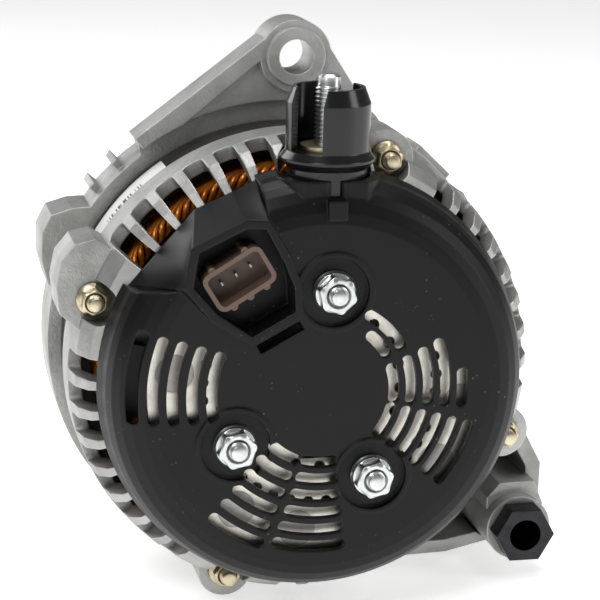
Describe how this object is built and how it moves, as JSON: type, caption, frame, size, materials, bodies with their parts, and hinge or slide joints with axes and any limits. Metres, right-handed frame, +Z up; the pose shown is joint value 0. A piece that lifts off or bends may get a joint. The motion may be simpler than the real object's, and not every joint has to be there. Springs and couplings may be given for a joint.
{
  "type": "car alternator",
  "caption": "Belt-driven car alternator with vented rear cover, connector hood, battery stud, two mounting ears and a grooved pulley.",
  "frame": {"origin": "on the rotor axis, at the middle of the belt track of the pulley", "axes": "+Y along the rotor axis towards the pulley end, +Z up through the upper mounting ear side, +X to the right when the rear cover is looked at; the rear cover faces -Y"},
  "size_m": [0.1593, 0.1444, 0.1731],
  "materials": {
    "bearing_steel": "polished",
    "black_steel": "satin",
    "bobbin_plastic": "matte",
    "bright_steel": "satin",
    "carbon": "matte",
    "cast_aluminium": "satin",
    "copper": "satin",
    "core_steel": "satin",
    "cover_plastic": "satin",
    "enamelled_copper": "gloss",
    "gloss_black": "gloss",
    "inner_plastic": "matte",
    "label_film": "matte",
    "pole_steel": "satin",
    "seal_steel": "satin",
    "sink_aluminium": "satin",
    "socket_plastic": "satin",
    "spring_steel": "satin",
    "tin_plate": "satin",
    "yellow_zinc": "satin",
    "zinc_plate": "satin"
  },
  "bodies": {
    "housing": {"front_housing": "cast_aluminium", "rear_housing": "cast_aluminium", "stator_core": "core_steel", "stator_winding": "enamelled_copper", "stator_label": "label_film", "through_bolts": "yellow_zinc", "through_bolt_nuts": "yellow_zinc", "lower_ear_bushing": "black_steel", "front_bearing_outer_race": "bearing_steel", "front_bearing_shields": "seal_steel", "rear_bearing_outer_race": "bearing_steel", "rear_bearing_shields": "seal_steel", "bearing_retainer": "zinc_plate", "retainer_screws": "yellow_zinc", "negative_heat_sink": "sink_aluminium", "positive_heat_sink": "sink_aluminium", "negative_diodes": "tin_plate", "positive_diodes": "tin_plate", "rectifier_insulators": "inner_plastic", "rectifier_terminal_ring": "inner_plastic", "stator_leads": "enamelled_copper", "cover_studs": "zinc_plate", "cover_nuts": "zinc_plate", "rear_cover": "cover_plastic", "connector_socket": "socket_plastic", "connector_terminals": "tin_plate", "voltage_regulator": "inner_plastic", "battery_terminal_insulator": "gloss_black", "battery_stud": "zinc_plate", "battery_stud_washer": "yellow_zinc", "brush_holder": "inner_plastic", "brush_spring_inner": "spring_steel", "brush_spring_outer": "spring_steel"},
    "rotor": {"shaft": "bright_steel", "front_pole": "pole_steel", "rear_pole": "pole_steel", "coil_bobbin": "bobbin_plastic", "field_coil": "enamelled_copper", "front_fan": "bright_steel", "rear_fan": "bright_steel", "slip_ring_hub": "inner_plastic", "slip_ring_inner": "copper", "slip_ring_outer": "copper", "pulley": "bright_steel", "pulley_nut": "zinc_plate", "shaft_collar": "bright_steel", "front_bearing_inner_race": "bearing_steel", "rear_bearing_inner_race": "bearing_steel"},
    "front_ball_cage": {"front_bearing_cage": "bright_steel", "front_bearing_balls": "bearing_steel"},
    "rear_ball_cage": {"rear_bearing_cage": "bright_steel", "rear_bearing_balls": "bearing_steel"},
    "inner_brush": {"brush_inner": "carbon"},
    "outer_brush": {"brush_outer": "carbon"}
  },
  "joints": [
    {"name": "rotor_spin", "type": "hinge", "parent": "housing", "child": "rotor", "pos_m": [0, 0, 0], "axis": [0, 1, 0], "continuous": true},
    {"name": "front_cage_spin", "type": "hinge", "parent": "housing", "child": "front_ball_cage", "pos_m": [0, -0.028, 0], "axis": [0, 1, 0], "continuous": true},
    {"name": "rear_cage_spin", "type": "hinge", "parent": "housing", "child": "rear_ball_cage", "pos_m": [0, -0.0905, 0], "axis": [0, 1, 0], "continuous": true},
    {"name": "inner_brush_slide", "type": "slide", "parent": "housing", "child": "inner_brush", "axis": [0, 0, -1], "range_m": [0, 0.0025], "stiffness_N_per_m": 400, "springref_m": -0.003, "deforming": ["brush_spring_inner"]},
    {"name": "outer_brush_slide", "type": "slide", "parent": "housing", "child": "outer_brush", "axis": [0, 0, -1], "range_m": [0, 0.0025], "stiffness_N_per_m": 400, "springref_m": -0.003, "deforming": ["brush_spring_outer"]}
  ],
  "couplings": [
    {"joint": "front_cage_spin", "follows": "rotor_spin", "ratio": 0.36562},
    {"joint": "rear_cage_spin", "follows": "rotor_spin", "ratio": 0.38}
  ]
}
